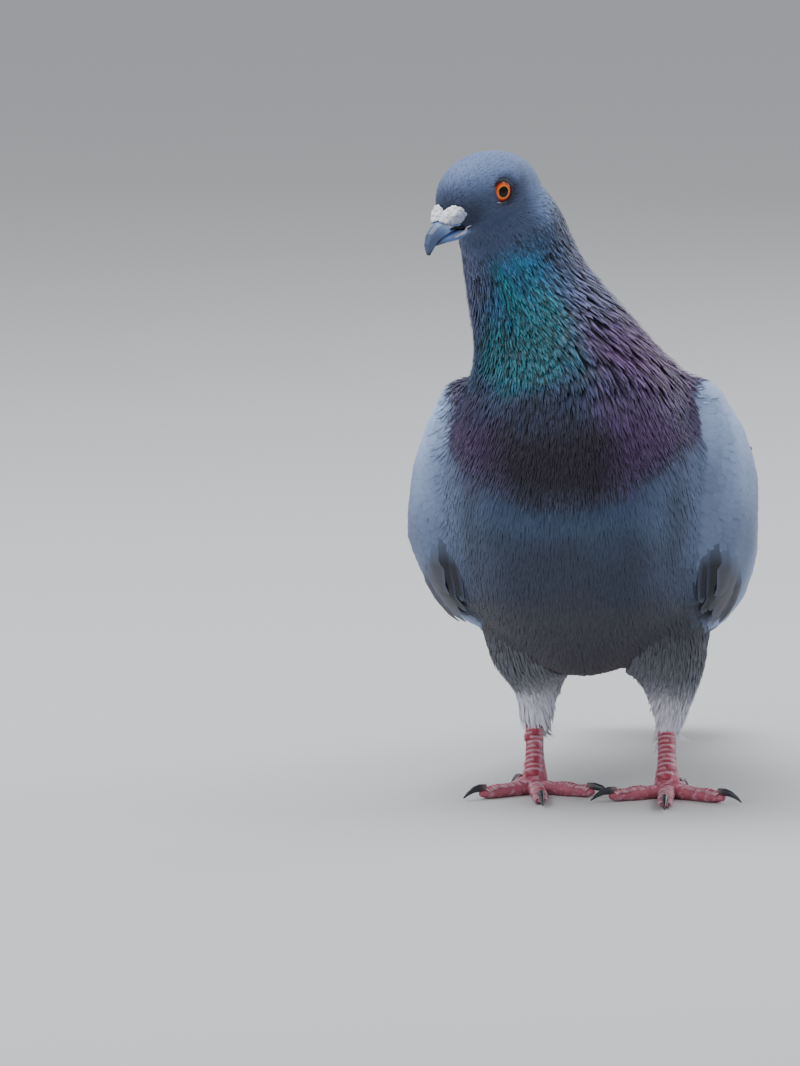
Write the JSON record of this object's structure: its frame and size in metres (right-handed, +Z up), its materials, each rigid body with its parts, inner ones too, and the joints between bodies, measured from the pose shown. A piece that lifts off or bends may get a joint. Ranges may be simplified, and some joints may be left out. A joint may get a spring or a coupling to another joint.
{
  "type": "pigeon",
  "caption": "Rock pigeon standing on both feet, breast to the front and head turned to its right, wings folded over a closed tail.",
  "frame": {"origin": "on the floor, under the middle of the bounding box; the soles stand at Z = 0", "axes": "+Z up; the breast faces -Y, the tail runs back along +Y, and the bird's left is +X"},
  "size_m": [0.1106, 0.2408, 0.2064],
  "materials": {
    "head_plumage": "small soft blue-grey feathers, matt",
    "neck_plumage": "narrow glossy hackles, green turning to mauve",
    "breast_plumage": "soft slate feathers, matt, purple at the collar",
    "wing_plumage": "pale blue-grey covert feathers, matt",
    "flight_feather": "stiff dark keratin vanes with fine barbs",
    "tail_feather": "stiff grey keratin vanes, a dark band near the end",
    "thigh_plumage": "soft grey feathers, whitish at the cuff",
    "eye": "wet clear cornea over an orange-red iris",
    "cere": "powdery white bare skin, finely pitted",
    "bill": "dark horn, worn satin",
    "leg_skin": "pink-red scaled skin, satin",
    "claw": "dark horn, polished by wear"
  },
  "bodies": {
    "root": {"head": "head_plumage", "neck": "neck_plumage", "trunk": "breast_plumage", "tail": "tail_feather", "cere": "cere", "bill_upper": "bill", "bill_lower": "bill", "wing_left": "wing_plumage", "primaries_left": "flight_feather", "eye_left": "eye", "thigh_left": "thigh_plumage", "shank_left": "leg_skin", "toe_inner_left": "leg_skin", "claw_inner_left": "claw", "toe_middle_left": "leg_skin", "claw_middle_left": "claw", "toe_outer_left": "leg_skin", "claw_outer_left": "claw", "toe_hind_left": "leg_skin", "claw_hind_left": "claw", "wing_right": "wing_plumage", "primaries_right": "flight_feather", "eye_right": "eye", "thigh_right": "thigh_plumage", "shank_right": "leg_skin", "toe_inner_right": "leg_skin", "claw_inner_right": "claw", "toe_middle_right": "leg_skin", "claw_middle_right": "claw", "toe_outer_right": "leg_skin", "claw_outer_right": "claw", "toe_hind_right": "leg_skin", "claw_hind_right": "claw"}
  },
  "joints": []
}
